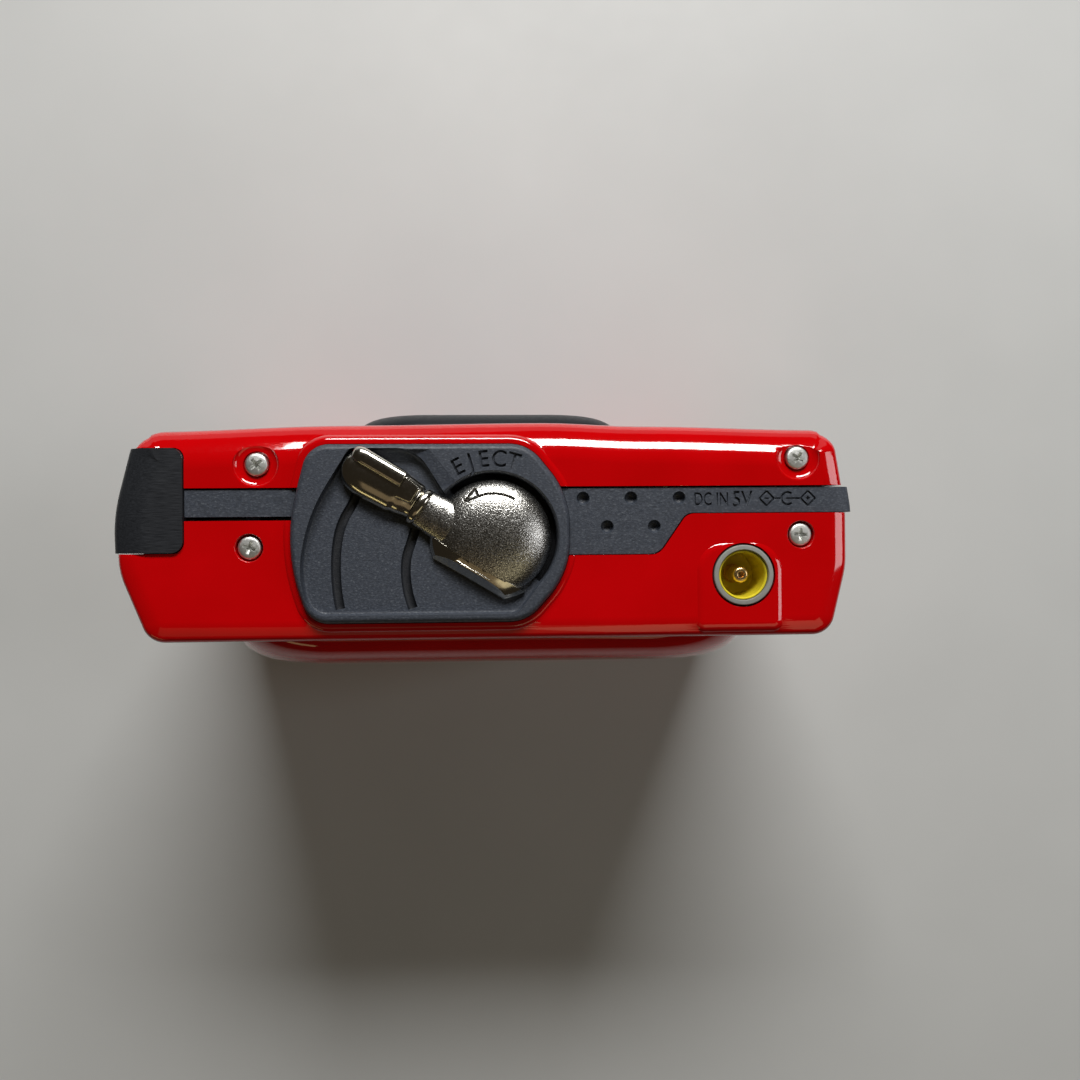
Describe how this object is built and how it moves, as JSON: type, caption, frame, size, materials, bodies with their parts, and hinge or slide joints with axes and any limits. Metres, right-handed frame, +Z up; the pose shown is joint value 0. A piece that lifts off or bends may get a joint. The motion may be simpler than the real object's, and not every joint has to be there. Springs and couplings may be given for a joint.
{
  "type": "cassette player",
  "caption": "Portable cassette player with a gloss red clamshell body, black mid frame, and an end latch with a swinging chrome lever.",
  "frame": {"origin": "centre of the footprint, on the surface that the hinge end stands on", "axes": "+X along the body's width, to the right of someone who faces the cassette door; +Y from the cassette door to the control panel; +Z up, from the hinge end to the latch end"},
  "size_m": [0.1132, 0.0416, 0.088],
  "materials": {
    "red_paint": "gloss",
    "black_frame": "fine matte texture",
    "black_door": "satin with fine lengthwise hairlines",
    "black_inner": "matte",
    "cell_wrap": "satin",
    "lever_chrome": "polished handle, speckled dome",
    "screw_steel": "satin",
    "plain_steel": "satin",
    "brass_turned": "turned",
    "jack_grey": "satin",
    "jack_yellow": "satin",
    "button_grey": "matte",
    "board_green": "solder mask",
    "window_smoke": "smoked",
    "black_rubber": "matte",
    "reel_white": "satin"
  },
  "bodies": {
    "case": {"battery_box": "black_inner", "battery_cell": "cell_wrap", "battery_contact": "plain_steel", "battery_hinge_pin": "plain_steel", "capstan_sleeve": "brass_turned", "circuit_board": "board_green", "control_panel": "black_frame", "deck_plate": "plain_steel", "drive_belt": "black_rubber", "end_screw_1": "screw_steel", "end_screw_2": "screw_steel", "end_screw_3": "screw_steel", "end_screw_4": "screw_steel", "front_shell": "red_paint", "guide_post_left": "plain_steel", "guide_post_right": "plain_steel", "hinge_lug_left": "plain_steel", "hinge_lug_right": "plain_steel", "hinge_pin": "plain_steel", "jack_pin": "brass_turned", "jack_ring": "jack_grey", "jack_sleeve": "jack_yellow", "latch_housing": "black_frame", "latch_spring": "plain_steel", "mid_frame": "black_frame", "motor": "plain_steel", "phones_socket": "plain_steel", "pinch_pivot": "plain_steel", "rear_shell": "red_paint"},
    "lever": {"lever": "lever_chrome", "latch_shaft": "plain_steel", "latch_hook": "plain_steel"},
    "door": {"cassette_door": "red_paint", "door_window": "window_smoke", "door_liner": "black_inner", "cassette_spring_left": "plain_steel", "cassette_spring_right": "plain_steel"},
    "battery_lid": {"battery_door": "black_door"},
    "key_stop": {"button_stop": "button_grey"},
    "key_play": {"button_play": "button_grey"},
    "key_forward": {"button_forward": "button_grey"},
    "key_rewind": {"button_rewind": "button_grey"},
    "volume": {"volume_wheel": "black_frame"},
    "supply_reel": {"supply_spindle": "reel_white"},
    "takeup_reel": {"takeup_spindle": "reel_white"},
    "idler": {"idler_wheel": "black_rubber"},
    "flywheel": {"flywheel": "brass_turned"},
    "pulley": {"motor_pulley": "brass_turned"},
    "head": {"head_carriage": "plain_steel", "play_head": "plain_steel"},
    "pinch": {"pinch_arm": "plain_steel"},
    "pinch_wheel": {"pinch_roller": "black_rubber"}
  },
  "joints": [
    {"name": "lever_turn", "type": "hinge", "parent": "case", "child": "lever", "pos_m": [0.0009, 0.0002, 0.084], "axis": [0, 0, 1], "range_deg": [0, 45], "stiffness_Nm_per_rad": 0.02},
    {"name": "door_open", "type": "hinge", "parent": "case", "child": "door", "pos_m": [0, -0.0135, 0.0044], "axis": [1, 0, 0], "range_deg": [0, 60]},
    {"name": "battery_lid_open", "type": "hinge", "parent": "case", "child": "battery_lid", "pos_m": [-0.05535, 0.0048, 0.0704], "axis": [0, -1, 0], "range_deg": [0, 85]},
    {"name": "key_stop_press", "type": "slide", "parent": "case", "child": "key_stop", "axis": [0, -1, 0], "range_m": [0, 0.0008], "stiffness_N_per_m": 500},
    {"name": "key_play_press", "type": "slide", "parent": "case", "child": "key_play", "axis": [0, -1, 0], "range_m": [0, 0.0008], "stiffness_N_per_m": 500},
    {"name": "key_forward_press", "type": "slide", "parent": "case", "child": "key_forward", "axis": [0, -1, 0], "range_m": [0, 0.0008], "stiffness_N_per_m": 500},
    {"name": "key_rewind_press", "type": "slide", "parent": "case", "child": "key_rewind", "axis": [0, -1, 0], "range_m": [0, 0.0008], "stiffness_N_per_m": 500},
    {"name": "volume_turn", "type": "hinge", "parent": "case", "child": "volume", "pos_m": [0.0493, 0.0106, 0.052], "axis": [0, 1, 0], "range_deg": [-140, 140]},
    {"name": "supply_spin", "type": "hinge", "parent": "case", "child": "supply_reel", "pos_m": [-0.01895, 0.0008, 0.0337], "axis": [0, 1, 0], "continuous": true},
    {"name": "takeup_spin", "type": "hinge", "parent": "case", "child": "takeup_reel", "pos_m": [0.02355, 0.0008, 0.0337], "axis": [0, 1, 0], "continuous": true},
    {"name": "idler_spin", "type": "hinge", "parent": "case", "child": "idler", "pos_m": [0.02621, 0.0093, 0.04784], "axis": [0, 1, 0], "continuous": true},
    {"name": "flywheel_spin", "type": "hinge", "parent": "case", "child": "flywheel", "pos_m": [0.0283, 0.0008, 0.059], "axis": [0, 1, 0], "continuous": true},
    {"name": "pulley_spin", "type": "hinge", "parent": "case", "child": "pulley", "pos_m": [-0.012, 0.0058, 0.06], "axis": [0, 1, 0], "continuous": true},
    {"name": "head_slide", "type": "slide", "parent": "case", "child": "head", "axis": [0, 0, -1], "range_m": [0, 0.004]},
    {"name": "pinch_swing", "type": "hinge", "parent": "case", "child": "pinch", "pos_m": [0.012, -0.0007, 0.0699], "axis": [0, 1, 0], "range_deg": [0, 30]},
    {"name": "pinch_roller_spin", "type": "hinge", "parent": "pinch", "child": "pinch_wheel", "pos_m": [0.0283, -0.0042, 0.0744], "axis": [0, 1, 0], "continuous": true}
  ],
  "couplings": [
    {"joint": "pulley_spin", "follows": "flywheel_spin", "ratio": 7},
    {"joint": "idler_spin", "follows": "flywheel_spin", "ratio": -0.56738},
    {"joint": "takeup_spin", "follows": "flywheel_spin", "ratio": 0.57143}
  ]
}
